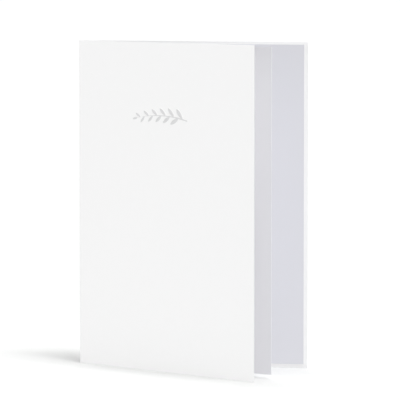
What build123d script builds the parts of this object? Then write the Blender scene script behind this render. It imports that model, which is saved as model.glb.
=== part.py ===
from build123d import *
import os
from math import atan2, cos, degrees, radians, sin

os.makedirs("parts", exist_ok=True)

# A greeting card of heavy white stock, folded once and stood open on its lower edges,
# with a folded insert of thinner paper held inside by a strip of adhesive.
# Lengths are in millimetres and angles in degrees. The fold is upright, the card opens
# towards +X, its front cover is on the -Y side, and Z = 0 is the table.

# Card
panel_width = 127.0          # closed card, from the outside of the fold to the free edge
panel_height = 178.0
stock = 0.4                  # thickness of the card stock
opening_angle = 30.3         # between the two panels
fold_radius = 0.25           # inside the bend
bead_height = 0.2            # ridge that the scoring pushes up inside the bend

# Insert
insert_stock = 0.3
insert_fold_radius = 0.2
nest_clearance = 0.2         # between the insert's fold and the inside of the cover
insert_edge_margin = 1.9     # back panel showing beyond the insert, at the free edge
insert_top_margin = 1.6      # the same, above the insert
insert_bottom_margin = 2.2   # and below it
leaf_lag = 8.0               # angle between the cover and the insert's front leaf

# Strip of adhesive between the insert and the back panel
strip_width = 6.0
strip_thickness = 0.1
strip_inset = 3.0            # from the insert's fold
strip_end_gap = 5.0          # from the insert's upper and lower edges

# Embossed sprig on the cover, its tip towards the fold
sprig_length = 40.0          # from the base of the stem to the tip of the end leaf
sprig_off_centre = -3.5      # middle of the sprig from the middle of the panel
sprig_drop = 41.0            # tip of the stem below the top edge
sprig_fall = 0.5             # base of the stem below its tip
sprig_sagitta = 2.0          # how far the stem bows upwards
stem_tip_width = 0.5
stem_base_width = 0.9
leaf_count = 11              # on the two sides by turns, besides the end leaf
first_leaf_length = 4.2      # nearest the tip
last_leaf_length = 8.0       # nearest the base
leaf_slimness = 0.32         # width of a leaf over its length
leaf_splay = 38.0            # between a leaf and the stem
end_leaf_lap = 1.0           # how far the end leaf lies over the tip of the stem
stalk_pull = (0.3, 0.6)      # points that pull the curve of a leaf's side outwards, as
tip_pull = (0.7, 0.66)       # shares of the leaf's length and width
leaf_slope = 0.3             # width of a leaf's sloping side
rib_length = 0.9             # groove along the top of a leaf, over the length of that top
rib_width = 0.3
rib_depth = 0.1
relief = 0.25                # height of the sprig above the cover
recess = 0.2                 # depth of the hollow behind it
recess_inset = 0.15          # how far the hollow's outline lies inside the sprig's
root = 0.05                  # overlap that joins a raised form to the stock

# Where the panels run
half_angle = opening_angle / 2
outer_radius = fold_radius + stock
panel_reach = panel_width - outer_radius


def direction(angle):
    """The level unit vector at this angle from X."""
    return Vector(cos(radians(angle)), sin(radians(angle)), 0)


def folded_sheet(inner_radius, thickness, upper_angle, lower_angle, reach, height):
    """A sheet bent round the Z axis, with a panel leaving the bend on each side."""
    upper_side = direction(upper_angle + 90)
    lower_side = direction(lower_angle - 90)
    far_side = direction((upper_angle + lower_angle) / 2 + 180)
    edges = []
    ends = []
    for radius in (inner_radius, inner_radius + thickness):
        upper_end = upper_side * radius + direction(upper_angle) * reach
        lower_end = lower_side * radius + direction(lower_angle) * reach
        edges.append(Line(upper_end, upper_side * radius))
        edges.append(ThreePointArc(upper_side * radius, far_side * radius, lower_side * radius))
        edges.append(Line(lower_side * radius, lower_end))
        ends.append((upper_end, lower_end))
    for inner_end, outer_end in zip(*ends):
        edges.append(Line(inner_end, outer_end))
    return extrude(make_face(edges), height, dir=(0, 0, 1))


def leaf_outline(length, width):
    """A pointed leaf along X, fullest near its middle."""
    sides = []
    for bulge in (width, -width):
        pulls = [(length * along, bulge * across) for along, across in (stalk_pull, tip_pull)]
        sides.append(Bezier((0, 0), *pulls, (length, 0)))
    return make_face(sides)


def raised_leaf(length, width, height):
    """A leaf with sloping sides and a grooved rib, rooted a little below Z = 0."""
    tip_slope = leaf_slope * length / width
    foot = leaf_outline(length, width)
    crown = leaf_outline(length - 2 * tip_slope, width - 2 * leaf_slope)
    leaf = loft([Pos(0, 0, -root) * foot, Pos(tip_slope, 0, height) * crown])
    rib = leaf_outline((length - 2 * tip_slope) * rib_length, rib_width)
    return leaf - Pos(tip_slope, 0, height - rib_depth) * extrude(rib, rib_depth + root)


def raised_stem(curve, tip_width, base_width, height):
    """A band along the curve, from one width at its start to the other at its end."""
    sides = []
    for side in (1, -1):
        stations = []
        for along in (0, 0.5, 1):
            width = tip_width + (base_width - tip_width) * along
            across = (curve % along).rotate(Axis.Z, 90) * (side * width / 2)
            stations.append(curve @ along + across)
        sides.append(ThreePointArc(*stations))
    above, below = sides
    ends = [Line(above @ 0, below @ 0), Line(above @ 1, below @ 1)]
    return Pos(0, 0, -root) * extrude(make_face([above, below, *ends]), height + root)


def sprig(height, inset):
    """The sprig as solids on Z = 0, its outlines drawn in by the inset.

    X runs from the axis of the fold across the cover, and Y up from the table.
    """
    middle_x = panel_reach - panel_width / 2 + sprig_off_centre
    tip_x = middle_x - sprig_length / 2 + first_leaf_length - end_leaf_lap
    tip_y = panel_height - sprig_drop
    base_x = middle_x + sprig_length / 2
    base_y = tip_y - sprig_fall
    bow = ((tip_x + base_x) / 2, (tip_y + base_y) / 2 + sprig_sagitta)
    curve = ThreePointArc((tip_x, tip_y), bow, (base_x, base_y))
    solids = [raised_stem(curve, stem_tip_width - 2 * inset, stem_base_width - 2 * inset, height)]
    sites = [(0, 0, first_leaf_length, end_leaf_lap)]
    for number in range(leaf_count):
        along = (number + 1) / (leaf_count + 1)
        splay = leaf_splay if number % 2 else -leaf_splay
        length = first_leaf_length + (last_leaf_length - first_leaf_length) * along
        sites.append((along, splay, length, 0))
    for along, splay, length, lap in sites:
        towards_tip = (curve % along) * -1
        heading = degrees(atan2(towards_tip.Y, towards_tip.X)) + splay
        width = length * leaf_slimness
        end_inset = inset * length / width
        leaf = raised_leaf(length - 2 * end_inset, width - 2 * inset, height)
        place = Pos(*(curve @ along)) * Rot(0, 0, heading) * Pos(end_inset - lap, 0, 0)
        solids.append(place * leaf)
    return solids


def cover_plane(radius):
    """The face of the cover whose distance from the axis of the fold is this radius."""
    outward = direction(-half_angle - 90)
    return Plane(origin=outward * radius, x_dir=direction(-half_angle), z_dir=outward)


# Card: the folded stock, its scored bead, and the sprig raised outside and hollow inside
card = folded_sheet(fold_radius, stock, half_angle, -half_angle, panel_reach, panel_height)
card += extrude(Circle(fold_radius + bead_height), panel_height)
card += [cover_plane(outer_radius) * form for form in sprig(relief, 0)]
card -= [cover_plane(fold_radius) * form for form in sprig(recess, recess_inset)]

# Insert: its back leaf lies along the back panel, on the strip, and its fold is as far
# into the card's as the cover allows. The axis of that fold lies off the card's own axis
# by the lift, which is negative towards the cover, and by the setback along the panel.
insert_outer_radius = insert_fold_radius + insert_stock
lift = fold_radius - strip_thickness - insert_outer_radius
room_needed = insert_outer_radius + nest_clearance - fold_radius
setback = (room_needed - lift * cos(radians(opening_angle))) / sin(radians(opening_angle))
insert_height = panel_height - insert_top_margin - insert_bottom_margin
insert_reach = panel_reach - insert_edge_margin - setback
insert_axis = direction(half_angle) * setback + direction(half_angle + 90) * lift
insert_place = Pos(*insert_axis) * Pos(0, 0, insert_bottom_margin)
insert = insert_place * folded_sheet(
    insert_fold_radius, insert_stock, half_angle, leaf_lag - half_angle, insert_reach, insert_height
)

# Strip of adhesive: between the back leaf and the back panel, near the fold
strip_length = insert_height - 2 * strip_end_gap
strip_plane = Plane(
    origin=direction(half_angle) * (setback + strip_inset)
    + direction(half_angle + 90) * (fold_radius - strip_thickness)
    + Vector(0, 0, insert_bottom_margin + strip_end_gap),
    x_dir=direction(half_angle),
    z_dir=(0, 0, 1),
)
strip_corner = (Align.MIN, Align.MIN, Align.MIN)
adhesive_strip = strip_plane * Box(strip_width, strip_thickness, strip_length, align=strip_corner)

# The origin is on the table, below the middle of the whole
nodes = {"card": card, "insert": insert, "adhesive_strip": adhesive_strip}
boxes = [shape.bounding_box() for shape in nodes.values()]
middle_x = (min(box.min.X for box in boxes) + max(box.max.X for box in boxes)) / 2
for name, shape in nodes.items():
    export_step(Pos(-middle_x, 0, 0) * shape, f"parts/{name}.step")
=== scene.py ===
import math

import bpy
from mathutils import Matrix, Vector


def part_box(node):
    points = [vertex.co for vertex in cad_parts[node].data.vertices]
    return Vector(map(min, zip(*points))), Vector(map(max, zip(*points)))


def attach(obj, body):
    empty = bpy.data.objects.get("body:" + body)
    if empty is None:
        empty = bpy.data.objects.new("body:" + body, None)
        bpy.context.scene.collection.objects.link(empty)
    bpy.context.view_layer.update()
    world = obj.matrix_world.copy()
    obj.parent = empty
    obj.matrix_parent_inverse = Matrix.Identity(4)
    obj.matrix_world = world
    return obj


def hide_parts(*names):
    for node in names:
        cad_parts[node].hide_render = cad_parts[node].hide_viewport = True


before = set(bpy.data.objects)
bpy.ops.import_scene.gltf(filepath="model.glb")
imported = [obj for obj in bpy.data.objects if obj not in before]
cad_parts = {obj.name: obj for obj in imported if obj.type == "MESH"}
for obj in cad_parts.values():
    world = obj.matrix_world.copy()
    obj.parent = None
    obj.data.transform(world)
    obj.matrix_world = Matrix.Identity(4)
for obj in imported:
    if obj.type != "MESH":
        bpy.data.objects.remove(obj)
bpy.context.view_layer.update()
bpy.ops.object.select_all(action="DESELECT")
bpy.context.scene.view_settings.view_transform = "Standard"

# The camera stands well back with a long lens, as for a catalogue picture. It is a little
# higher than the card, looks slightly down on it, and stands off to the side on which the
# card opens.
camera_turn = math.radians(26.62)
camera_rise = math.radians(4.446)
camera_distance = 1.8334
camera_lens = 304.18
film_width = 36
sight_limit = 50
aim_across = 0.0106
aim_height = 0.09225
across = Vector((math.cos(camera_turn), math.sin(camera_turn), 0))
towards_camera = Vector((
    math.sin(camera_turn) * math.cos(camera_rise),
    -math.cos(camera_turn) * math.cos(camera_rise),
    math.sin(camera_rise),
))
bpy.ops.object.camera_add(
    location=across * aim_across + Vector((0, 0, aim_height)) + towards_camera * camera_distance,
    rotation=(math.pi / 2 - camera_rise, 0, camera_turn),
)
camera = bpy.context.object
camera.name = "camera"
camera.data.lens = camera_lens
camera.data.sensor_width = film_width
camera.data.clip_end = sight_limit
bpy.context.scene.camera = camera
bpy.ops.object.select_all(action="DESELECT")

# The die that embosses the cover: a leafy sprig cut into a flat plate, its tip towards the
# fold. It lies face up while the card is made, with X across the cover from the middle of
# the bend and Y up the card, and is removed once the card has been pressed over it.
panel_width = 0.127
card_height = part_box("card")[1][2]
stock = 0.0004
bend_inside = 0.00025
bend_outside = bend_inside + stock
panel_reach = panel_width - bend_outside
relief = 0.00025
merge_distance = 1e-7

sprig_length = 0.040
sprig_off_centre = 0.0035
sprig_drop = 0.041
sprig_fall = 0.0005
sprig_sagitta = 0.002
sprig_middle = panel_reach - panel_width / 2 - sprig_off_centre
stem_tip_height = card_height - sprig_drop
stem_tip_width = 0.0005
stem_base_width = 0.0009
stem_level = 0.8
stem_steps = 24
stem_roundness = 3

leaf_count = 11
first_leaf = 0.0042
last_leaf = 0.0080
leaf_slimness = 0.32
leaf_splay = math.radians(38)
leaf_steps = 16
end_leaf_lap = 0.001
stalk_pull = (0.3, 0.6)
tip_pull = (0.7, 0.66)
rib_share = 0.01
rib_level = 0.45


def leaf_die(length):
    """A leaf along X, turned like a spindle and flattened to the relief, with its rib sunk."""
    width = length * leaf_slimness
    bpy.ops.curve.primitive_bezier_curve_add()
    side = bpy.context.object.data.splines[0]
    side.resolution_u = leaf_steps
    for point, end, pull in zip(side.bezier_points, (0, length), (stalk_pull, tip_pull)):
        point.handle_left_type = point.handle_right_type = "FREE"
        point.co = (end, 0, 0)
        point.handle_left = point.handle_right = (pull[0] * length, pull[1] * width, 0)
    bpy.ops.object.convert(target="MESH")
    leaf = bpy.context.object
    bpy.ops.object.mode_set(mode="EDIT")
    bpy.ops.mesh.select_all(action="SELECT")
    bpy.ops.mesh.spin(steps=leaf_steps, angle=math.pi, center=(0, 0, 0), axis=(1, 0, 0))
    bpy.ops.mesh.select_all(action="SELECT")
    bpy.ops.mesh.remove_doubles(threshold=merge_distance)
    bpy.ops.object.mode_set(mode="OBJECT")
    highest = max(vertex.co.z for vertex in leaf.data.vertices)
    lowest = min(vertex.co.z for vertex in leaf.data.vertices)
    upwards = 1 if highest > -lowest else -1
    for vertex in leaf.data.vertices:
        level = rib_level if abs(vertex.co.y) < width * rib_share else 1
        roundness = max(0, upwards * vertex.co.z) / (width / 2)
        vertex.co.z = math.sqrt(roundness) * relief * level
    return leaf


bpy.ops.mesh.primitive_plane_add(size=1, location=(sprig_middle, stem_tip_height, 0))
die = bpy.context.object
die.name = "sprig_die"
plate_size = 2 * sprig_length
bpy.ops.transform.resize(value=(plate_size, plate_size, 1), orient_type="GLOBAL")
bpy.ops.object.transform_apply(location=True, rotation=True, scale=True)

# The stem is a curve with one handle at each third of its length. Its middle bows by three
# quarters of what the handles are pulled aside.
stem_length = sprig_length - first_leaf + end_leaf_lap
tip = Vector((sprig_middle + sprig_length / 2 - stem_length, stem_tip_height, 0))
base = tip + Vector((stem_length, -sprig_fall, 0))
stem_bow = (base - tip).normalized().cross(Vector((0, 0, -1))) * sprig_sagitta
stem_pull = stem_bow * 4 / 3


def on_stem(along):
    """The place and the heading towards the tip at this share of the stem's length."""
    place = tip + (base - tip) * along + stem_pull * 3 * along * (1 - along)
    heading = (tip - base) - stem_pull * 3 * (1 - 2 * along)
    return place, math.atan2(heading.y, heading.x)


pieces = [die]
leaf_sites = [(0, 0, first_leaf, end_leaf_lap)]
for number in range(leaf_count):
    along = (number + 1) / (leaf_count + 1)
    length = first_leaf + (last_leaf - first_leaf) * along
    leaf_sites.append((along, leaf_splay if number % 2 else -leaf_splay, length, 0))
for along, splay, length, lap in leaf_sites:
    place, heading = on_stem(along)
    leaf = leaf_die(length)
    leaf.rotation_euler.z = heading + splay
    leaf.location = place - Vector((math.cos(heading), math.sin(heading), 0)) * lap
    bpy.ops.object.transform_apply(location=True, rotation=True, scale=True)
    pieces.append(leaf)

bpy.ops.curve.primitive_bezier_curve_add()
stem = bpy.context.object
spline = stem.data.splines[0]
stem_ends = ((tip, base, stem_tip_width / stem_base_width), (base, tip, 1))
for point, (place, far_end, thickness) in zip(spline.bezier_points, stem_ends):
    point.handle_left_type = point.handle_right_type = "FREE"
    point.co = place
    point.radius = thickness
    point.handle_left = point.handle_right = place.lerp(far_end, 1 / 3) + stem_pull
stem.data.bevel_depth = stem_base_width / 2
stem.data.bevel_resolution = stem_roundness
spline.resolution_u = stem_steps
bpy.ops.object.convert(target="MESH")
bpy.ops.object.transform_apply(location=True, rotation=True, scale=True)
stem = bpy.context.object
for vertex in stem.data.vertices:
    vertex.co.z *= relief * stem_level / (stem_base_width / 2)
pieces.append(stem)

bpy.ops.object.select_all(action="DESELECT")
for piece in pieces:
    piece.select_set(True)
bpy.context.view_layer.objects.active = die
bpy.ops.object.join()
bpy.ops.object.select_all(action="DESELECT")

# The card is one sheet of heavy white stock, cut square, pressed over the die and folded
# once along a scored line. The raised sprig is painted grey, a painted shade in place of the
# shading of its relief, and the score leaves a fine round bead inside the bend.
opening = math.radians(30.3)
fold_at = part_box("card")[0][0] + bend_outside
bend_steps = 12
bead_height = 0.0002
bead_radius = bend_inside + bead_height
window_margin = 0.001
window_length = sprig_length + 2 * window_margin
window_height = 2 * last_leaf * math.sin(leaf_splay) + 2 * window_margin
mesh_pitch = 0.000125
near = mesh_pitch / 10
press_height = 4 * relief
smooth_share = 0.5
smooth_rounds = 2
edge_softening = 0.00004
edge_steps = 2
cut_angle = math.radians(80)
smooth_angle = math.radians(40)


def pick(piece, wanted):
    """Selects, in edit mode, the vertices whose place passes the test."""
    bpy.ops.object.mode_set(mode="OBJECT")
    for part in (piece.data.polygons, piece.data.edges):
        for element in part:
            element.select = False
    for vertex in piece.data.vertices:
        vertex.select = wanted(vertex.co)
    bpy.ops.object.mode_set(mode="EDIT")
    bpy.ops.mesh.select_mode(type="VERT")


def thicken(sheet, thickness):
    """Draws the flat sheet down into a slab of this thickness."""
    bpy.ops.object.mode_set(mode="EDIT")
    bpy.ops.mesh.select_all(action="SELECT")
    bpy.ops.mesh.extrude_region_move(TRANSFORM_OT_translate={"value": (0, 0, -thickness)})
    bpy.ops.mesh.select_all(action="SELECT")
    bpy.ops.mesh.normals_make_consistent(inside=False)
    bpy.ops.object.mode_set(mode="OBJECT")


def fold_back(sheet, outer_radius, fold_angle, reach):
    """Spins the slab's end at X = 0 round below it and carries it on as a second panel."""
    pick(sheet, lambda place: place.x < near)
    bpy.ops.mesh.spin(
        steps=bend_steps,
        angle=math.pi - fold_angle,
        center=(0, 0, -outer_radius),
        axis=(0, 1, 0),
    )
    onwards = Vector((math.cos(fold_angle), 0, -math.sin(fold_angle))) * reach
    bpy.ops.mesh.extrude_region_move(TRANSFORM_OT_translate={"value": onwards})
    bpy.ops.mesh.select_all(action="SELECT")
    bpy.ops.transform.translate(value=(0, 0, outer_radius))
    bpy.ops.mesh.remove_doubles(threshold=merge_distance)
    bpy.ops.mesh.normals_make_consistent(inside=False)
    bpy.ops.object.mode_set(mode="OBJECT")


def stand_up(sheet, turn, place):
    """Softens the cut edges and stands the sheet on its lower edge, turned about the fold."""
    soft = sheet.modifiers.new("soft", "BEVEL")
    soft.width = edge_softening
    soft.segments = edge_steps
    soft.limit_method = "ANGLE"
    soft.angle_limit = cut_angle
    bpy.ops.object.modifier_apply(modifier=soft.name)
    sheet.rotation_euler = (math.pi / 2, 0, turn)
    sheet.location = place
    bpy.ops.object.transform_apply(location=True, rotation=True, scale=True)
    bpy.ops.object.shade_smooth_by_angle(angle=smooth_angle)
    flat = sheet.modifiers.new("flat", "WEIGHTED_NORMAL")
    flat.keep_sharp = True
    bpy.ops.object.modifier_apply(modifier=flat.name)
    bpy.ops.object.select_all(action="DESELECT")


# The window over the die is a fine grid. It is dropped onto the die and smoothed a little,
# because paper doesn't follow a die's sharp corners.
bpy.ops.mesh.primitive_grid_add(
    x_subdivisions=round(window_length / mesh_pitch),
    y_subdivisions=round(window_height / mesh_pitch),
    size=1,
    location=(sprig_middle, stem_tip_height + sprig_sagitta / 2, press_height),
)
card = bpy.context.object
card.name = "card_sheet"
bpy.ops.transform.resize(value=(window_length, window_height, 1), orient_type="GLOBAL")
bpy.ops.object.transform_apply(location=True, rotation=True, scale=True)
press = card.modifiers.new("press", "SHRINKWRAP")
press.target = die
press.wrap_method = "PROJECT"
press.use_project_z = True
press.use_negative_direction = True
press.use_positive_direction = False
bpy.ops.object.modifier_apply(modifier=press.name)
bpy.data.objects.remove(die)

bpy.ops.object.mode_set(mode="EDIT")
bpy.ops.mesh.select_all(action="SELECT")
bpy.ops.mesh.vertices_smooth(
    factor=smooth_share,
    repeat=smooth_rounds,
    xaxis=False,
    yaxis=False,
    zaxis=True,
)
bpy.ops.object.mode_set(mode="OBJECT")

# The window's four sides are drawn out to the edges of the cover, and the cover is thickened
# and folded back into the second panel.
left = min(vertex.co.x for vertex in card.data.vertices)
right = max(vertex.co.x for vertex in card.data.vertices)
low = min(vertex.co.y for vertex in card.data.vertices)
high = max(vertex.co.y for vertex in card.data.vertices)
for wanted, reach in (
    (lambda place: place.x < left + near, (-left, 0, 0)),
    (lambda place: place.x > right - near, (panel_reach - right, 0, 0)),
    (lambda place: place.y < low + near, (0, -low, 0)),
    (lambda place: place.y > high - near, (0, card_height - high, 0)),
):
    pick(card, wanted)
    bpy.ops.mesh.extrude_region_move(TRANSFORM_OT_translate={"value": reach})
thicken(card, stock)
fold_back(card, bend_outside, opening, panel_reach)

# Painted shade: the sprig is greyed by how high each point stands above the cover.
sprig_shade = card.data.attributes.new("sprig_shade", "FLOAT", "POINT")
for vertex in card.data.vertices:
    sprig_shade.data[vertex.index].value = max(0, vertex.co.z - bend_outside) / relief

# The inside of the bend is turned over into the bead.
bend_half = math.pi / 2 - opening / 2
bead_half = opening / 2 + math.asin(bend_inside / bead_radius)
for vertex in card.data.vertices:
    if abs(math.hypot(vertex.co.x, vertex.co.z) - bend_inside) < near:
        turn = math.atan2(vertex.co.z, vertex.co.x)
        behind = math.remainder(turn + opening / 2 - math.pi, 2 * math.pi)
        around = -behind / bend_half * bead_half - opening / 2
        vertex.co.x = bead_radius * math.cos(around)
        vertex.co.z = bead_radius * math.sin(around)
stand_up(card, -opening / 2, (fold_at, 0, 0))

# Each texture has its scale, its detail and how much finer it is along X, Y and Z.
paper_gloss = 0.25
paper_roughness = 0.6
cloud_depth = 0.006
cloud_texture = (260, 3, (1, 1, 1))
fibre_texture = (900, 2, (1, 1, 5))
tooth_texture = (5200, 3, (1, 1, 1))
tooth_depth = 0.00001
tooth_strength = 0.6
mark_starts = 0.3
mark_full = 0.5


def paper(name, colour, mark, mark_colour, mark_roughness):
    """Paper with a cloudy tint, long fibres and a fine tooth, in a second colour where marked."""
    material = bpy.data.materials.new(name)
    material.use_nodes = True
    nodes = material.node_tree.nodes
    links = material.node_tree.links
    shader = nodes["Principled BSDF"]
    shader.inputs["Specular IOR Level"].default_value = paper_gloss
    place = nodes.new("ShaderNodeTexCoord")

    def noise(scale, detail, stretch):
        mapping = nodes.new("ShaderNodeMapping")
        mapping.inputs["Scale"].default_value = stretch
        texture = nodes.new("ShaderNodeTexNoise")
        texture.inputs["Scale"].default_value = scale
        texture.inputs["Detail"].default_value = detail
        links.new(place.outputs["Object"], mapping.inputs["Vector"])
        links.new(mapping.outputs["Vector"], texture.inputs["Vector"])
        return texture.outputs["Fac"]

    def blend(share, first, second):
        mix = nodes.new("ShaderNodeMix")
        mix.data_type = "RGBA"
        links.new(share, mix.inputs["Factor"])
        mix.inputs["A"].default_value = (*first, 1)
        mix.inputs["B"].default_value = (*second, 1)
        return mix

    def mapped(value, low, high, to_low, to_high):
        span = nodes.new("ShaderNodeMapRange")
        span.inputs["From Min"].default_value = low
        span.inputs["From Max"].default_value = high
        span.inputs["To Min"].default_value = to_low
        span.inputs["To Max"].default_value = to_high
        links.new(value, span.inputs["Value"])
        return span.outputs["Result"]

    darker = [channel * (1 - cloud_depth) for channel in colour]
    lighter = [channel * (1 + cloud_depth) for channel in colour]
    clouds = blend(noise(*cloud_texture), darker, lighter)
    marking = nodes.new("ShaderNodeAttribute")
    marking.attribute_name = mark
    marked = mapped(marking.outputs["Fac"], mark_starts, mark_full, 0, 1)
    tint = blend(marked, colour, mark_colour)
    links.new(clouds.outputs["Result"], tint.inputs["A"])
    links.new(tint.outputs["Result"], shader.inputs["Base Color"])
    roughness = mapped(marked, 0, 1, paper_roughness, mark_roughness)
    links.new(roughness, shader.inputs["Roughness"])

    tooth = nodes.new("ShaderNodeMath")
    tooth.operation = "ADD"
    links.new(noise(*fibre_texture), tooth.inputs[0])
    links.new(noise(*tooth_texture), tooth.inputs[1])
    bump = nodes.new("ShaderNodeBump")
    bump.inputs["Distance"].default_value = tooth_depth
    bump.inputs["Strength"].default_value = tooth_strength
    links.new(tooth.outputs["Value"], bump.inputs["Height"])
    links.new(bump.outputs["Normal"], shader.inputs["Normal"])
    return material


card_white = (0.90, 0.90, 0.90)
# A painted shade grey for the raised sprig, standing in for its relief's shading.
sprig_shade_grey = (0.68, 0.68, 0.685)
sprig_roughness = 0.4
card.data.materials.append(paper("card_white", card_white, "sprig_shade", sprig_shade_grey, sprig_roughness))
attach(card, "root")
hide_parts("card")

# The insert is a sheet of thinner off-white paper, printed a pale lavender grey on its inner
# side and folded by hand. Its back leaf is stuck to the card's back panel, just off the fold,
# and its front leaf stands by itself.
insert_stock = 0.0003
insert_bend_inside = 0.0002
insert_bend_outside = insert_bend_inside + insert_stock
nest_clearance = 0.0002
leaf_lag = math.radians(8)
edge_margin = 0.0019
strip_thickness = 0.0001
lift = bend_inside - strip_thickness - insert_bend_outside
room_needed = insert_bend_outside + nest_clearance - bend_inside
setback = (room_needed - lift * math.cos(opening)) / math.sin(opening)
insert_low, insert_high = (corner[2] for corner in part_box("insert"))
insert_height = insert_high - insert_low
insert_reach = panel_reach - edge_margin - setback
insert_at = Vector((
    fold_at + setback * math.cos(opening / 2) - lift * math.sin(opening / 2),
    setback * math.sin(opening / 2) + lift * math.cos(opening / 2),
    insert_low,
))

bpy.ops.mesh.primitive_plane_add(size=1, location=(insert_reach / 2, insert_height / 2, 0))
insert = bpy.context.object
insert.name = "insert_sheet"
bpy.ops.transform.resize(value=(insert_reach, insert_height, 1), orient_type="GLOBAL")
bpy.ops.object.transform_apply(location=True, rotation=True, scale=True)
thicken(insert, insert_stock)
fold_back(insert, insert_bend_outside, opening - leaf_lag, insert_reach)
stand_up(insert, leaf_lag - opening / 2, insert_at)

printed = insert.data.attributes.new("printed", "FLOAT", "FACE")
for face in insert.data.polygons:
    off_axis = abs((face.center - insert_at).dot(face.normal))
    printed.data[face.index].value = 1 if abs(off_axis - insert_bend_inside) < near else 0
off_white = (0.813, 0.809, 0.842)
pale_lavender = (0.723, 0.725, 0.766)
print_roughness = 0.7
insert.data.materials.append(
    paper("insert_white", off_white, "printed", pale_lavender, print_roughness)
)
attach(insert, "root")
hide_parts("insert")

# A strip of clear double-sided adhesive holds the insert's back leaf to the back panel. It is
# faintly yellow, and milky in patches where it hasn't wetted the paper.
patch_scale = 350
patch_detail = 3
wetted_colour = (0.78, 0.76, 0.68, 1)
milky_colour = (0.86, 0.85, 0.81, 1)
wetted_roughness = 0.2
milky_roughness = 0.5
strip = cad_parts["adhesive_strip"]
adhesive = bpy.data.materials.new("clear_adhesive")
adhesive.use_nodes = True
adhesive_nodes = adhesive.node_tree.nodes
adhesive_links = adhesive.node_tree.links
adhesive_shader = adhesive_nodes["Principled BSDF"]
adhesive_place = adhesive_nodes.new("ShaderNodeTexCoord")
patches = adhesive_nodes.new("ShaderNodeTexNoise")
patches.inputs["Scale"].default_value = patch_scale
patches.inputs["Detail"].default_value = patch_detail
adhesive_tint = adhesive_nodes.new("ShaderNodeMix")
adhesive_tint.data_type = "RGBA"
adhesive_tint.inputs["A"].default_value = wetted_colour
adhesive_tint.inputs["B"].default_value = milky_colour
adhesive_roughness = adhesive_nodes.new("ShaderNodeMapRange")
adhesive_roughness.inputs["To Min"].default_value = wetted_roughness
adhesive_roughness.inputs["To Max"].default_value = milky_roughness
adhesive_links.new(adhesive_place.outputs["Object"], patches.inputs["Vector"])
adhesive_links.new(patches.outputs["Fac"], adhesive_tint.inputs["Factor"])
adhesive_links.new(patches.outputs["Fac"], adhesive_roughness.inputs["Value"])
adhesive_links.new(adhesive_tint.outputs["Result"], adhesive_shader.inputs["Base Color"])
adhesive_links.new(adhesive_roughness.outputs["Result"], adhesive_shader.inputs["Roughness"])
for slot in strip.material_slots:
    slot.material = adhesive

# A wide white table top in a white room. Four low lamps, beside the camera, further left, behind
# and on the open side, light the card's faces, and six high ones keep its shadow short and soft.
# The table is brighter to the camera than to the card, so that its white doesn't glare on it.
table_size = 60
table_colour = (0.45, 0.45, 0.45, 1)
table_seen = (0.873, 0.878, 0.873, 1)
bpy.ops.mesh.primitive_plane_add(size=table_size, location=(0, 0, 0))
table = bpy.context.object
table.name = "table_top"
table_paint = bpy.data.materials.new("table_white")
table_paint.use_nodes = True
table_nodes = table_paint.node_tree.nodes
table_links = table_paint.node_tree.links
table_shader = table_nodes["Principled BSDF"]
table_shader.inputs["Roughness"].default_value = 1
table_shader.inputs["Specular IOR Level"].default_value = 0
table_ray = table_nodes.new("ShaderNodeLightPath")
table_mix = table_nodes.new("ShaderNodeMix")
table_mix.data_type = "RGBA"
table_mix.inputs["A"].default_value = table_colour
table_mix.inputs["B"].default_value = table_seen
table_links.new(table_ray.outputs["Is Camera Ray"], table_mix.inputs["Factor"])
table_links.new(table_mix.outputs["Result"], table_shader.inputs["Base Color"])
table.data.materials.append(table_paint)

ambient = 0.2
room = bpy.data.worlds.new("room")
room.use_nodes = True
bpy.context.scene.world = room
room_nodes = room.node_tree.nodes
room_links = room.node_tree.links
sky = room_nodes["Background"]
sky.inputs["Color"].default_value = (1, 1, 1, 1)
ray = room_nodes.new("ShaderNodeLightPath")
seen = room_nodes.new("ShaderNodeMath")
seen.operation = "MAXIMUM"
room_links.new(ray.outputs["Is Camera Ray"], seen.inputs[0])
room_links.new(ray.outputs["Is Glossy Ray"], seen.inputs[1])
brightness = room_nodes.new("ShaderNodeMapRange")
brightness.inputs["To Min"].default_value = ambient
brightness.inputs["To Max"].default_value = 1
room_links.new(seen.outputs["Value"], brightness.inputs["Value"])
room_links.new(brightness.outputs["Result"], sky.inputs["Strength"])


def soft_lamp(name, turn, rise, spread, level):
    """A far lamp at this turn and rise, as wide as the spread, all in degrees.

    It lights a face turned to it to the level.
    """
    bpy.ops.object.light_add(type="SUN")
    lamp = bpy.context.object
    lamp.name = name
    lamp.rotation_euler = (math.pi / 2 - math.radians(rise), 0, math.radians(turn) + math.pi / 2)
    lamp.data.angle = math.radians(spread)
    lamp.data.energy = level * math.pi
    bpy.ops.object.select_all(action="DESELECT")


soft_lamp("camera_lamp", -61.5, 4, 3, 0.474)
soft_lamp("left_lamp", -120, 0.4, 0.6, 0.278)
soft_lamp("back_lamp", 105, 1, 3, 0.12)
soft_lamp("open_side_lamp", 50, 1, 3, 0.28)
soft_lamp("right_top_lamp", -15, 68, 15, 0.275)
soft_lamp("front_top_lamp", -35, 68, 15, 0.226)
soft_lamp("far_right_top_lamp", 15, 78, 12, 0.164)
soft_lamp("back_top_lamp", 75, 75, 15, 0.097)
soft_lamp("far_left_top_lamp", 120, 79, 12, 0.132)
soft_lamp("left_back_top_lamp", 150, 70, 12, 0.077)
